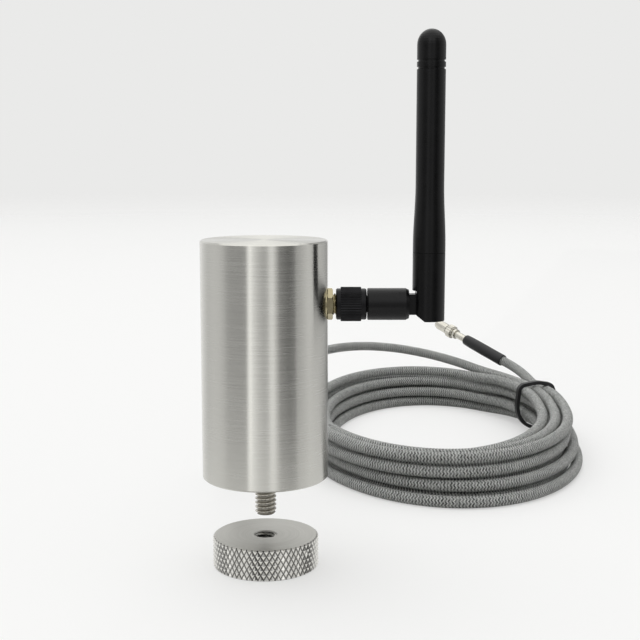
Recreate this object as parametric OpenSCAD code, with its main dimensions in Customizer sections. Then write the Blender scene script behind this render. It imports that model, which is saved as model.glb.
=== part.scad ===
// Wireless vibration sensor: a brushed steel body on a threaded stud, a knurled magnet base that
// screws onto the stud, a folding stub antenna on the side and a braided cable with a small plug.
// Millimetres. The origin is the middle of the base's underside, Z is up and X points to the antenna.

/* [Body] */
// Diameter of the body
body_d = 37; // [36:0.5:44]
// Height of the body
body_h = 70; // [66:1:90]
// Thickness of the body's side wall
wall = 3; // [2.6:0.1:3.4]
// Thickness of the body's top
top_t = 4; // [3:0.5:4.5]
// Chamfer on the body's outer edges
edge = 0.4; // [0.2:0.1:0.8]

/* [Base plate and stud] */
// Thickness of the plate that closes the body from below
plate_t = 10; // [9.5:0.5:12]
// Wall of the body left round the plate
rim_t = 1.5; // [1.2:0.1:2]
// Thickness of the plate's seal ring
seal_d = 1.6; // [1.2:0.1:2]
// Diameter of the two spanner holes in the plate
spanner_d = 3; // [2:0.5:4]
// Distance between the two spanner holes
spanner_span = 24; // [18:1:27]
// Diameter of the mounting stud
stud_d = 6.35; // [5:0.05:8]
// Length of the stud below the body
stud_out = 11.5; // [9:0.5:14]
// Length of the stud held in the plate
stud_in = 5.5; // [4.5:0.5:6]
// How far the stud can be turned deeper into the plate
stud_travel = 3; // [2.5:0.1:3.5]
// Width across flats of the key socket in the stud's end
stud_key = 3.2; // [2.5:0.1:3.4]

/* [Magnet base] */
// Diameter of the base over its knurl
base_d = 31.5; // [28:0.5:36]
// Height of the base
base_h = 9.2; // [8:0.1:12]
// Free height between the base and the end of the stud
stud_gap = 6.5; // [4:0.5:12]
// Number of diamonds round the knurl
knurl_n = 58; // [40:1:64]
// Depth of the knurl's pits
knurl_depth = 0.5; // [0.3:0.05:0.7]
// Angle of the knurl's ridges from the base's axis, in degrees
knurl_angle = 32; // [25:1:40]
// Chamfer on the base's rims
base_chamfer = 0.4; // [0.3:0.1:1.2]
// Outer diameter of the ring magnet
magnet_d = 22; // [18:0.5:25]
// Hole of the ring magnet
magnet_hole = 10; // [9.6:0.2:12]
// Thickness of the ring magnet
magnet_t = 4; // [3:0.2:5]

/* [Antenna connector] */
// Height from the connector's axis to the body's top
jack_drop = 18.7; // [17:0.1:22]
// Diameter of the connector's thread
jack_d = 6.35; // [6:0.05:7]
// Diameter of the connector's inner flange
jack_flange_d = 8.4; // [8:0.1:9.4]
// Diameter of the connector's insulator
insulator_d = 4.2; // [3.8:0.1:4.4]
// Outer diameter of the lock washer
washer_d = 9.8; // [9:0.1:10.4]
// Thickness of the lock washer
washer_t = 0.65; // [0.4:0.05:1]
// Width across flats of the hex nut
nut_af = 8; // [7.6:0.1:8.4]
// Thickness of the hex nut
nut_t = 1.7; // [1.4:0.1:2.5]
// Thread that shows between the hex nut and the coupling nut
thread_show = 0.9; // [0.5:0.1:2]

/* [Antenna] */
// Diameter of the coupling nut's plain ends
coupling_d = 9.1; // [8.8:0.1:9.4]
// Diameter of the coupling nut over its ribs
coupling_rib_d = 10; // [9.6:0.1:11]
// Number of ribs on the coupling nut
coupling_ribs = 40; // [24:2:48]
// Length of the coupling nut's front lip
coupling_lip = 1.35; // [1:0.05:2]
// Length of the coupling nut's ribbed band
coupling_band = 5.9; // [5:0.1:8]
// Length of the coupling nut's rear skirt
coupling_skirt = 1.55; // [1.2:0.05:2.2]
// Diameter of the collar that swivels
collar_d = 9.3; // [8.8:0.1:10]
// Length of the collar
collar_l = 12; // [10:0.5:16]
// Distance from the collar's end to the fold's axis
hinge_reach = 5.75; // [5.6:0.05:7]
// Height of the collar's tongue
tongue_h = 5.95; // [5:0.05:6.2]
// Thickness of the collar's tongue
tongue_t = 3.4; // [2.6:0.1:3.8]
// Diameter of the fold's pin
pin_d = 2; // [1.6:0.1:2.4]
// Diameter of the mast at its foot
mast_d = 9.4; // [9:0.1:10.4]
// Diameter of the mast above its flare
mast_top_d = 8.2; // [7.8:0.1:8.8]
// Depth of the mast below the fold's axis
mast_below = 4.7; // [4.6:0.1:5.2]
// Height of the seam above the fold's axis
seam_h = 15; // [12:0.5:17]
// Height of the flare's start above the fold's axis
flare_from = 17.2; // [17:0.2:22]
// Height of the flare's end above the fold's axis
flare_to = 34.4; // [30:0.2:45]
// Height of the mast's top above the tip's lower groove
groove_h = 11.2; // [9:0.2:16]
// Height of the mast's top above the fold's axis
mast_h = 78.2; // [70:0.2:95]

/* [Inside] */
// Diameter of the vibration capsule
capsule_d = 13; // [10:0.5:15]
// Height of the vibration capsule
capsule_h = 8; // [6:0.5:9]
// Width of the circuit board
board_w = 26; // [23:0.5:26]
// Thickness of the circuit board
board_t = 1.6; // [1:0.1:2]
// Distance of the circuit board's front from the axis
board_y = 3.2; // [2.8:0.1:3.6]
// Diameter of the battery
battery_d = 14.5; // [12:0.1:14.6]
// Length of the battery
battery_l = 25; // [20:1:26]

/* [Cable] */
// Diameter of the braided cable
cable_d = 4.2; // [3.4:0.1:4.4]
// Height of the cable's gland above the body's underside
gland_h = 23; // [21:0.5:26]
// Diameter of the gland's thread
gland_d = 8; // [7.4:0.1:8.6]
// Width across flats of the gland's hexagon
gland_af = 10; // [9.6:0.2:11]
// Length of the tapered strain relief
relief_l = 11; // [8:0.5:13]
// Loops in the coil
coil_turns = 9.5; // [7.5:1:11.5]
// Gap between neighbouring loops in a layer
loop_gap = 0.8; // [0.5:0.05:0.9]
// Gap between the coil's layers
layer_gap = 0.5; // [0.45:0.05:0.8]
// Thickness of the tie's strap
tie_t = 1; // [0.6:0.1:1]
// Width of the tie's strap
tie_w = 1.8; // [1:0.1:2.5]
// Outer diameter of the shrink sleeve
shrink_d = 5.4; // [5:0.1:6]
// Length of the shrink sleeve
shrink_l = 25; // [20:1:30]

/* [Plug] */
// Diameter of the plug's slim sleeve
plug_d = 3.4; // [2.8:0.1:3.6]
// Length of the slim sleeve that shows
plug_sleeve_l = 8; // [6:0.5:10]
// Diameter of the plug's nut
plug_nut_d = 6.5; // [5.8:0.1:7.5]
// Length of the plug's nut
plug_nut_l = 4; // [3:0.2:5]
// Diameter of the plug's nose
plug_nose_d = 4.8; // [4.4:0.1:5.4]
// Length of the plug's nose
plug_nose_l = 7.5; // [6:0.5:9]

/* [Hidden] */
$fn = 64;

// Clearances: between pieces that turn or slide, between fixed round pieces, and between flat ends
run_fit = 0.075;
fix_fit = 0.04;
end_gap = 0.3;

// Heights of the stack
body_z = base_h + stud_gap + stud_out;
body_top = body_z + body_h;
plate_top = body_z + plate_t;
capsule_top = plate_top + capsule_h;
jack_z = body_top - jack_drop;
gland_z = body_z + gland_h;

// Radii of the body
body_r = body_d / 2;
bore_r = body_r - wall;
plate_seat_r = body_r - rim_t;
plate_r = plate_seat_r - fix_fit;
stud_r = stud_d / 2;
stud_chamfer = 0.6;
stud_neck_l = 1;
stud_neck_deep = 0.6;
stud_key_deep = 3.5;
seal_fit = 0.02;
seal_groove_depth = seal_d + seal_fit;
seal_groove_w = seal_d + 0.4;
seal_z = body_z + 0.55 * plate_t;

// Places along the antenna's axis
spot_cut = 0.9;
inner_cut = 0.3;
flange_t = 1.8;
jack_tail = 5.4;
jack_r = jack_d / 2;
seat_x = body_r - spot_cut;
inner_x = bore_r + inner_cut;
flange_x = inner_x - flange_t;
jack_rear_x = flange_x - jack_tail;
nut_x = seat_x + washer_t;
coupling_x = nut_x + nut_t + thread_show;
coupling_end = coupling_x + coupling_lip + coupling_band + coupling_skirt;
coupling_lip_t = 2.05;
ferrule_flange_t = 0.9;
ferrule_x = coupling_end - coupling_lip_t - end_gap - ferrule_flange_t;
jack_end = ferrule_x - 0.1;
ferrule_r = 2.5;
ferrule_flange_r = jack_r - 0.1;
ferrule_in_collar = 6;
contact_r = 0.75;
signal_pin_r = 0.46;
collar_x = coupling_end + end_gap;
collar_end = collar_x + collar_l;
hinge_x = collar_end + hinge_reach;

// Sizes of the fold
cheek_gap = 0.25;
slot_gap = 0.35;
pin_r = pin_d / 2;
pin_l = tongue_t + 3.6;
mast_r = mast_d / 2;
mast_top_r = mast_top_d / 2;
relief_flat = 3.65;
relief_top = 4.1;
chamfer_side = 3;
chamfer_foot = 1.4;
spigot_r = 3;
spigot_l = 6;
radiator_r = 1.2;
radiator_from = seam_h - 5;
groove_z = mast_h - groove_h;
groove_w = 0.6;
groove_deep = 0.35;
seam_edge = 0.15;
tip_ring = 1.4;
dome_h = 4.4;

// Places inside the body
cradle_t = 4;
cradle_gap = 1.5;
cradle_fit = 0.4;
cradle_hole_r = capsule_d / 2 + cradle_gap;
cradle_r = bore_r - cradle_fit;
post_rise = 10.8;
post_grip = 3.5;
post_lip = 0.6;
post_cheek = 1.5;
post_top = capsule_top + post_rise;
post_in = board_w / 2 - post_grip;
post_out = board_w / 2 + post_lip;
post_y0 = board_y - post_cheek;
post_y1 = board_y + board_t + post_cheek;
board_lift = 0.6;
board_over = 9.5;
board_z = capsule_top + board_lift;
board_top = jack_z + board_over;
notch_x = 5;
notch_deep = 6;
notch_z = jack_z - notch_deep;
board_back = board_y + board_t;
contact_t = 0.4;
contact_w = 6;
battery_lift = 0.8;
battery_gap = 1.15;
battery_z = board_z + battery_lift;
battery_y = board_y - battery_gap - battery_d / 2;
battery_top = battery_z + battery_l;
capsule_flange = 1.5;
capsule_step = 0.6;
capsule_lid = 5;
radio_w = 12;
radio_t = 2.4;
radio_x = -9;
radio_lift = 13;
socket_x = 2;
socket_h = 2;
coax_r = 0.9;
terminal_l = 4.2;
terminal_w = 8;
terminal_h = 5;

// Places along the gland's axis
gland_r = gland_d / 2;
gland_seat = body_r - spot_cut;
gland_hex_t = 2.5;
gland_neck_l = 4;
gland_neck_r = gland_r - 0.4;
gland_nut_y = gland_seat + gland_hex_t + 0.5;
gland_nut_l = 7.9;
gland_nut_end = gland_nut_y + gland_nut_l;
gland_cap_t = 1.8;
gland_seal_l = 1.7;
relief_end = gland_nut_end + relief_l;
cable_r = cable_d / 2;
cable_bore_r = cable_r + 0.05;

// The coil: an oval pile of loops in four layers, raised a little where the tie passes under it. The pile
// leans by this much for each millimetre of height
coil_x = 66.5;
coil_y = 142.5;
coil_a = 50;
coil_b = 82;
coil_start = 204;
coil_layers = 4;
coil_lean = [-0.32, 0.35];
rings_per_loop = 24;
layer_turns = coil_turns / coil_layers;
loop_step = cable_d + loop_gap;
layer_step = cable_d + layer_gap;
coil_spread = layer_turns * loop_step;
tie_angle = 20.5;
tie_gap = 0.3;
tie_lift = tie_t + tie_gap + 0.2;
tie_reach = 32;
tie_bulge = 0.7;
loose_from = coil_turns - 0.995;
loose_to = coil_turns - 0.395;
loose_out = 9;
loose_up = 12;

// The free cable: chosen points on the way from the gland to the coil, and from the coil to the plug
lead_route = [[0, 50, 50], [-3, 58.5, 47], [-7.5, 66, 41], [-11.5, 73, 33], [-14.5, 81, 24],
    [-16.5, 89.5, 14.5], [-17, 99, 6.8], [-15, 108.5, 3], [-9.5, 116, 2.2], [-1, 119.7, 2.2],
    [7.5, 118.7, 2.2], [12.7, 114.7, 2.2]];
tail_route = [[110.6, 196.4, 19.2], [107.6, 205.3, 21.1]];
plug_at = [102.6, 213, 23.4];
plug_yaw = 130;
plug_rise = 16.5;
plug_start = shrink_l - 2;
plug_nut_s = shrink_l + plug_sleeve_l;
plug_nose_s = plug_nut_s + plug_nut_l + 2 * end_gap;
plug_end_s = plug_nose_s + plug_nose_l;
plug_neck_r = plug_d / 2;
plug_ribs = 18;

steel = [0.75, 0.75, 0.73];
black = [0.12, 0.12, 0.12];
brass = [0.80, 0.70, 0.45];
rubber = [0.09, 0.09, 0.09];
braid = [0.52, 0.53, 0.53];
board = [0.10, 0.35, 0.20];
nickel = [0.78, 0.76, 0.70];
white = [0.92, 0.92, 0.90];

// Drawing frames: the antenna's axis, the gland's axis, the fold's axis and the plug's axis
module along_x(x) translate([x, 0, jack_z]) rotate([0, 90, 0]) children();
module along_y(y) translate([0, y, gland_z]) rotate([-90, 0, 0]) children();
module at_hinge() translate([hinge_x, 0, jack_z]) children();
module along_plug(s) translate(plug_at) rotate([0, 90 - plug_rise, plug_yaw]) translate([0, 0, s]) children();

// A round piece with a bore, standing on its frame's origin
module pipe(r, bore, l) {
    difference() {
        cylinder(r = r, h = l);
        translate([0, 0, -1]) cylinder(r = bore, h = l + 2);
    }
}

// A round band with pointed ribs along it
module ribbed(r, deep, ribs, l) {
    linear_extrude(l) polygon([for (i = [0:2 * ribs - 1])
        (r - (i % 2) * deep) * [cos(180 * i / ribs), sin(180 * i / ribs)]]);
}

// A hexagon by its width across flats
module hexagon(af, l) cylinder(r = af / sqrt(3), h = l, $fn = 6);

// A closed tube of n sides along a path, made of triangles
function unit(v) = v / norm(v);
function heading(path, i) = unit(path[min(i + 1, len(path) - 1)] - path[max(i - 1, 0)]);
function ring(p, along, r, n) =
    let (side = unit(cross(along, [0, 0, 1])), up = cross(side, along))
    [for (j = [0:n - 1]) p + r * (cos(360 * j / n) * up - sin(360 * j / n) * side)];
module tube(path, r, n) {
    last = len(path) - 1;
    points = [for (i = [0:last]) each ring(path[i], heading(path, i), r, n)];
    start_cap = [for (j = [1:n - 2]) [0, j + 1, j]];
    end_cap = [for (j = [1:n - 2]) [last * n, last * n + j, last * n + j + 1]];
    near = [for (i = [0:last - 1], j = [0:n - 1]) [i * n + j, i * n + (j + 1) % n, (i + 1) * n + (j + 1) % n]];
    far = [for (i = [0:last - 1], j = [0:n - 1]) [i * n + j, (i + 1) * n + (j + 1) % n, (i + 1) * n + j]];
    polyhedron(points = points, faces = concat(start_cap, near, far, end_cap));
}

// The coil's path: each layer spirals in or out, and the next is climbed in the half turn round its end
function smooth(u) = let (c = min(max(u, 0), 1)) c * c * (3 - 2 * c);
function hump(u) = u <= 0 || u >= 1 ? 0 : pow(sin(180 * u), 2);
function layer_at(t) = min(floor(t / layer_turns), coil_layers - 1);
function spiral_at(t) =
    let (u = t / layer_turns - layer_at(t))
    coil_spread * (layer_at(t) % 2 == 0 ? 0.5 - u : u - 0.5);
function climb_at(t, k) = k == 0 ? 0 : climb_at(t, k - 1) + smooth(2 * (t - k * layer_turns) + 0.5);
function tie_away(angle) = abs((angle - tie_angle + 540) % 360 - 180);
function tie_raise(angle) = tie_lift * smooth(1.5 * (1 - tie_away(angle) / tie_reach));
function coil_point(t) =
    let (angle = coil_start + 360 * t,
         loose = hump((t - loose_from) / (loose_to - loose_from)),
         out = spiral_at(t) + loose_out * loose,
         climb = layer_step * climb_at(t, coil_layers - 1),
         lean = climb * coil_lean)
    [coil_x + (coil_a + out) * cos(angle) + lean[0],
        coil_y + (coil_b + out) * sin(angle) + lean[1],
        cable_r + climb + loose_up * loose + tie_raise(angle)];
coil_path = [for (i = [0:rings_per_loop * coil_turns]) coil_point(i / rings_per_loop)];
coil_last = len(coil_path) - 1;
coil_in = unit(coil_path[1] - coil_path[0]);
coil_out = unit(coil_path[coil_last] - coil_path[coil_last - 1]);
plug_axis = [cos(plug_rise) * cos(plug_yaw), cos(plug_rise) * sin(plug_yaw), sin(plug_rise)];
lead_straight = [for (y = [board_back + terminal_l, gland_seat, gland_nut_end, relief_end + 1]) [0, y, gland_z]];
lead_path = concat(lead_straight, lead_route, [coil_path[0] - cable_d * coil_in, coil_path[0]]);
tail_path = concat([coil_path[coil_last], coil_path[coil_last] + cable_d * coil_out], tail_route,
    [plug_at, plug_at + plug_start / 2 * plug_axis, plug_at + plug_start * plug_axis]);

// Least gap of the coil to itself, between points half a loop or more apart
coil_gap = min([for (i = [0:coil_last], j = [i + rings_per_loop / 2:1:coil_last])
    norm(coil_path[i] - coil_path[j])]) - cable_d;
echo(coil_gap = coil_gap);

// The tie goes round every pass of the cable, in the plane across them. Each pass is found in a few steps
// from a first guess
tie_out = atan2(sin(tie_angle) / coil_b, cos(tie_angle) / coil_a);
tie_at = [coil_x + coil_a * cos(tie_angle), coil_y + coil_b * sin(tie_angle), 0];
tie_along = [-sin(tie_out), cos(tie_out), 0];
turn_l = 2 * PI * norm([coil_a * sin(tie_angle), coil_b * cos(tie_angle)]);
function tie_turn(t, steps) =
    steps == 0 ? t : tie_turn(t - (coil_point(t) - tie_at) * tie_along / turn_l, steps - 1);
tie_first = (tie_angle - coil_start + 360) / 360;
tie_passes = [for (t = [tie_first:1:coil_turns])
    let (p = coil_point(tie_turn(t, 4)) - tie_at)
    [p[0] * cos(tie_out) + p[1] * sin(tie_out), p[2]]];
tie_xs = [for (pass = tie_passes) pass[0]];
tie_zs = [for (pass = tie_passes) pass[1]];
tie_mid = [(min(tie_xs) + max(tie_xs)) / 2, (min(tie_zs) + max(tie_zs)) / 2 + tie_bulge];
tie_half = [(max(tie_xs) - min(tie_xs)) / 2 + tie_bulge, (max(tie_zs) - min(tie_zs)) / 2];

module housing_shell() {
    color(steel)
    difference() {
        translate([0, 0, body_z]) rotate_extrude() polygon([[0, 0], [body_r - edge, 0], [body_r, edge],
            [body_r, body_h - edge], [body_r - edge, body_h], [0, body_h]]);
        translate([0, 0, body_z - 1]) cylinder(r = bore_r, h = body_h - top_t + 1);
        translate([0, 0, body_z - 1]) cylinder(r = plate_seat_r, h = plate_t + 1);
        // Antenna connector: through hole, outer spot face and inner seat
        along_x(flange_x - 1) cylinder(r = jack_r + fix_fit, h = 10);
        along_x(seat_x) cylinder(r = washer_d / 2 + 0.3, h = 5);
        along_x(flange_x - 1) cylinder(r = jack_flange_d / 2 + 0.3, h = flange_t + 1);
        // Cable gland: through hole and outer spot face
        along_y(bore_r - 2) cylinder(r = gland_r + fix_fit, h = 8);
        along_y(gland_seat) cylinder(r = gland_af / sqrt(3) + 0.3, h = 5);
    }
}

module base_plate() {
    color(steel)
    difference() {
        translate([0, 0, body_z]) cylinder(r = plate_r, h = plate_t);
        // Tapped hole for the stud, with room to turn it deeper
        translate([0, 0, body_z - 1]) cylinder(r = stud_r + run_fit, h = stud_in + stud_travel + end_gap + 1);
        for (side = [-1, 1])
            translate([0, side * spanner_span / 2, body_z - 1]) cylinder(d = spanner_d, h = 4);
        translate([0, 0, seal_z - seal_groove_w / 2]) difference() {
            cylinder(r = plate_r + 1, h = seal_groove_w);
            translate([0, 0, -1]) cylinder(r = plate_r - seal_groove_depth, h = seal_groove_w + 2);
        }
    }
}

module base_seal() {
    color(rubber) translate([0, 0, seal_z]) rotate_extrude()
        translate([plate_seat_r - seal_fit - seal_d / 2, 0]) circle(d = seal_d);
}

module mounting_stud() {
    l = stud_out + stud_in;
    c = stud_chamfer;
    // The thread's relief groove starts at the plate's face
    neck_r = stud_r - stud_neck_deep;
    held = stud_out + stud_neck_l;
    color(steel) translate([0, 0, body_z - stud_out]) difference() {
        rotate_extrude() polygon([[0, 0], [stud_r - c, 0], [stud_r, c], [stud_r, stud_out], [neck_r, stud_out],
            [neck_r, held], [stud_r, held], [stud_r, l - c], [stud_r - c, l], [0, l]]);
        translate([0, 0, -1]) hexagon(stud_key, stud_key_deep + 1);
    }
}

module accelerometer_capsule() {
    color(nickel) translate([0, 0, plate_top]) {
        cylinder(d = capsule_d, h = capsule_flange);
        cylinder(d = capsule_d - capsule_flange, h = capsule_h - capsule_step);
        cylinder(d = capsule_d - capsule_lid, h = capsule_h);
    }
}

module board_cradle() {
    color(black) difference() {
        union() {
            translate([0, 0, plate_top]) pipe(cradle_r, cradle_hole_r, cradle_t);
            for (side = [0, 1]) mirror([side, 0, 0])
                translate([post_in, post_y0, plate_top + cradle_t / 2])
                    cube([post_out - post_in, post_y1 - post_y0, post_top - plate_top - cradle_t / 2]);
        }
        // Slots that hold the board's edges
        translate([-board_w / 2 - fix_fit, board_y - fix_fit, board_z])
            cube([board_w + 2 * fix_fit, board_t + 2 * fix_fit, post_top]);
    }
}

module circuit_board() {
    color(board) translate([0, board_back, 0]) rotate([90, 0, 0]) linear_extrude(board_t)
        polygon([[-board_w / 2, board_z], [board_w / 2, board_z], [board_w / 2, notch_z], [notch_x, notch_z],
            [notch_x, board_top], [-board_w / 2, board_top]]);
}

module radio_module() {
    color(nickel) translate([radio_x, board_back, battery_z + radio_lift]) cube([radio_w, radio_t, radio_w]);
}

module battery_cell() {
    color("seagreen") translate([0, battery_y, battery_z]) {
        cylinder(d = battery_d, h = battery_l - 1);
        cylinder(d = battery_d / 3, h = battery_l);
    }
}

module battery_contacts() {
    color(nickel) for (z = [battery_z - contact_t, battery_top])
        translate([-contact_w / 2, battery_y - contact_w / 2, z])
            cube([contact_w, board_y - battery_y + contact_w / 2, contact_t]);
}

module cable_terminal() {
    color(white) translate([-terminal_w / 2, board_back, gland_z - terminal_h / 2])
        cube([terminal_w, terminal_l, terminal_h]);
}

module antenna_socket() {
    color(brass) translate([-socket_x, -1.5, jack_z - socket_h])
        cube([2 * socket_x, board_y + 1.5, 2 * socket_h]);
}

module antenna_coax() {
    color(black) along_x(socket_x) cylinder(r = coax_r, h = jack_rear_x + 3 - socket_x);
}

module antenna_jack() {
    color(brass) difference() {
        union() {
            along_x(jack_rear_x) cylinder(r = 2.2, h = jack_tail + 1);
            along_x(flange_x) cylinder(d = jack_flange_d, h = flange_t);
            along_x(flange_x) cylinder(r = jack_r, h = jack_end - flange_x);
        }
        along_x(jack_rear_x - 1) cylinder(r = coax_r + fix_fit, h = inner_x - jack_rear_x);
        along_x(inner_x + 0.2) cylinder(d = insulator_d, h = jack_end - inner_x);
    }
}

module jack_insulator() {
    color(white) along_x(inner_x + 0.2)
        pipe(insulator_d / 2 - fix_fit, contact_r + fix_fit, jack_end - inner_x - 0.9);
}

module jack_contact() {
    l = jack_end - inner_x - 1.1;
    color(brass) along_x(inner_x + 0.2) difference() {
        cylinder(r = contact_r, h = l);
        translate([0, 0, 2]) cylinder(r = signal_pin_r + fix_fit, h = l);
    }
}

module jack_washer() {
    color(brass) along_x(seat_x) pipe(washer_d / 2, jack_r + fix_fit, washer_t);
}

module jack_nut() {
    r = nut_af / sqrt(3);
    c = 0.25;
    color(brass) along_x(nut_x) intersection() {
        difference() {
            hexagon(nut_af, nut_t);
            translate([0, 0, -1]) cylinder(r = jack_r + fix_fit, h = nut_t + 2);
        }
        // Corners turned off to a cone on both faces
        rotate_extrude() polygon([[0, 0], [r - 2 * c, 0], [r, c],
            [r, nut_t - c], [r - 2 * c, nut_t], [0, nut_t]]);
    }
}

module coupling_nut() {
    c = 0.3;
    l = coupling_end - coupling_x;
    deep = 0.28;
    color(black) along_x(coupling_x) difference() {
        union() {
            rotate_extrude() polygon([[0, 0], [coupling_d / 2 - c, 0], [coupling_d / 2, c],
                [coupling_d / 2, l - c], [coupling_d / 2 - c, l], [0, l]]);
            translate([0, 0, coupling_lip]) ribbed(coupling_rib_d / 2, deep, coupling_ribs, coupling_band);
        }
        translate([0, 0, -1]) cylinder(r = jack_r + run_fit, h = l - coupling_lip_t + 1);
        cylinder(r = ferrule_r + run_fit, h = l + 1);
    }
}

module antenna_ferrule() {
    color(black) difference() {
        union() {
            along_x(ferrule_x) cylinder(r = ferrule_flange_r, h = ferrule_flange_t);
            along_x(ferrule_x) cylinder(r = ferrule_r, h = collar_x + ferrule_in_collar - ferrule_x);
        }
        along_x(ferrule_x - 1) cylinder(r = signal_pin_r + fix_fit, h = 5);
    }
}

module antenna_pin() {
    color(brass) along_x(ferrule_x - 6) cylinder(r = signal_pin_r, h = 10);
}

module antenna_collar() {
    c = 0.9;
    r = collar_d / 2;
    color(black) difference() {
        union() {
            along_x(collar_x) rotate_extrude() polygon([[0, 0], [r - 0.2, 0], [r, 0.2], [r, collar_l - c],
                [r - c / 2, collar_l], [0, collar_l]]);
            translate([collar_end - 1, -tongue_t / 2, jack_z - tongue_h / 2])
                cube([hinge_reach + 1, tongue_t, tongue_h]);
            at_hinge() rotate([90, 0, 0]) translate([0, 0, -tongue_t / 2]) cylinder(d = tongue_h, h = tongue_t);
        }
        along_x(collar_x - 1) cylinder(r = ferrule_r + run_fit, h = ferrule_in_collar + end_gap + 1);
        at_hinge() rotate([90, 0, 0]) translate([0, 0, -tongue_t])
            cylinder(r = pin_r + run_fit, h = 2 * tongue_t);
    }
}

module hinge_pin() {
    color(steel) at_hinge() rotate([90, 0, 0]) translate([0, 0, -pin_l / 2]) cylinder(r = pin_r, h = pin_l);
}

module mast_knuckle() {
    slot_r = tongue_h / 2 + slot_gap;
    slot_t = tongue_t + 2 * cheek_gap;
    reach = mast_r + mast_below;
    color(black) at_hinge() difference() {
        union() {
            translate([0, 0, -mast_below]) cylinder(r = mast_r, h = mast_below + seam_h);
            cylinder(r = spigot_r, h = seam_h + spigot_l);
        }
        // Slot that the tongue swings through, from the side to the foot
        translate([0, slot_t / 2, 0]) rotate([90, 0, 0]) cylinder(r = slot_r, h = slot_t);
        translate([-reach, -slot_t / 2, -reach]) cube([reach, slot_t, reach + slot_r]);
        translate([-1, -slot_t / 2, -reach]) cube([slot_r + 1, slot_t, reach]);
        // Flat and chamfer that clear the collar
        translate([0, reach, 0]) rotate([90, 0, 0]) linear_extrude(2 * reach)
            polygon([[-reach, relief_top], [-relief_flat, relief_top], [-relief_flat, -chamfer_side],
                [-chamfer_foot, -mast_below], [-chamfer_foot, -reach], [-reach, -reach]]);
        rotate([90, 0, 0]) translate([0, 0, -pin_l / 2 - 0.05]) cylinder(r = pin_r + fix_fit, h = pin_l + 0.1);
        translate([0, 0, radiator_from]) cylinder(r = radiator_r + fix_fit, h = seam_h + spigot_l);
    }
}

module mast_sleeve() {
    foot = [[0, seam_h], [mast_r - seam_edge, seam_h], [mast_r, seam_h + seam_edge]];
    flare = [for (u = [0:0.125:1])
        [mast_r - (mast_r - mast_top_r) * smooth(u), flare_from + (flare_to - flare_from) * u]];
    head = [[mast_top_r, groove_z - seam_edge], [mast_top_r - seam_edge, groove_z], [0, groove_z]];
    color(black) at_hinge() difference() {
        rotate_extrude() polygon(concat(foot, flare, head));
        translate([0, 0, seam_h - 1]) cylinder(r = spigot_r + fix_fit, h = groove_z - seam_h + 2);
    }
}

module mast_tip() {
    ring_z = groove_z + groove_w;
    cap_z = ring_z + tip_ring + groove_w;
    neck_r = mast_top_r - groove_deep;
    dome = [for (a = [0:10:90]) [mast_top_r * cos(a), mast_h - dome_h + dome_h * sin(a)]];
    spigot = [[0, groove_z - spigot_l], [spigot_r, groove_z - spigot_l], [spigot_r, groove_z]];
    lower = [[neck_r, groove_z], [neck_r, ring_z]];
    band = [[mast_top_r, ring_z], [mast_top_r, ring_z + tip_ring]];
    upper = [[neck_r, ring_z + tip_ring], [neck_r, cap_z], [mast_top_r, cap_z]];
    color(black) at_hinge() rotate_extrude() polygon(concat(spigot, lower, band, upper, dome));
}

module radiator() {
    color(brass) at_hinge() translate([0, 0, radiator_from])
        cylinder(r = radiator_r, h = groove_z - spigot_l - radiator_from);
}

// Knurl: two sets of ridges cross at every other point of a lattice, and the points between lie deeper as
// pits
module magnet_base() {
    r = base_d / 2;
    cols = 2 * knurl_n;
    low = base_chamfer;
    high = base_h - base_chamfer;
    pitch = PI * base_d / knurl_n / tan(knurl_angle) / 2;
    rows = max(2, round((high - low) / pitch));
    function crest(i, k) = (i + k) % 2 == 1 ? r - knurl_depth : r;
    function lattice(i, z, rad) = [rad * cos(360 * i / cols), rad * sin(360 * i / cols), z];
    rim = r - knurl_depth - base_chamfer / 4;
    levels = concat([[for (i = [0:cols - 1]) lattice(i, 0, rim)]],
        [for (k = [0:rows]) [for (i = [0:cols - 1]) lattice(i, low + (high - low) * k / rows, crest(i, k))]],
        [[for (i = [0:cols - 1]) lattice(i, base_h, rim)]]);
    points = [for (level = levels) each level];
    top = len(levels) - 1;
    // Each cell is split along its ridge
    function cell(i, k) =
        let (a = k * cols + i, b = k * cols + (i + 1) % cols, c = a + cols, d = b + cols)
        (i + k) % 2 == 0 ? [[a, c, b], [c, d, b]] : [[a, c, d], [a, d, b]];
    faces = concat([[for (i = [0:cols - 1]) i]], [for (k = [0:top - 1], i = [0:cols - 1]) each cell(i, k)],
        [[for (i = [cols - 1:-1:0]) top * cols + i]]);
    color(steel) difference() {
        polyhedron(points = points, faces = faces);
        translate([0, 0, -1]) cylinder(r = stud_r + run_fit, h = base_h + 2);
        translate([0, 0, base_h - 0.3]) cylinder(r1 = stud_r + run_fit, r2 = stud_r + run_fit + 0.4, h = 0.4);
        translate([0, 0, -1]) pipe(magnet_d / 2 + fix_fit, magnet_hole / 2 - fix_fit, magnet_t + 1 + 0.2);
    }
}

module base_magnet() {
    color("dimgray") translate([0, 0, 0.2]) pipe(magnet_d / 2, magnet_hole / 2, magnet_t);
}

module gland_body() {
    color(nickel) along_y(0) difference() {
        union() {
            translate([0, 0, bore_r - 2.5]) cylinder(r = gland_r, h = gland_seat - bore_r + 3);
            translate([0, 0, gland_seat]) hexagon(gland_af, gland_hex_t);
            translate([0, 0, gland_seat]) cylinder(r = gland_neck_r, h = gland_hex_t + gland_neck_l);
        }
        cylinder(r = cable_bore_r, h = gland_seat + 20);
    }
}

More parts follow.
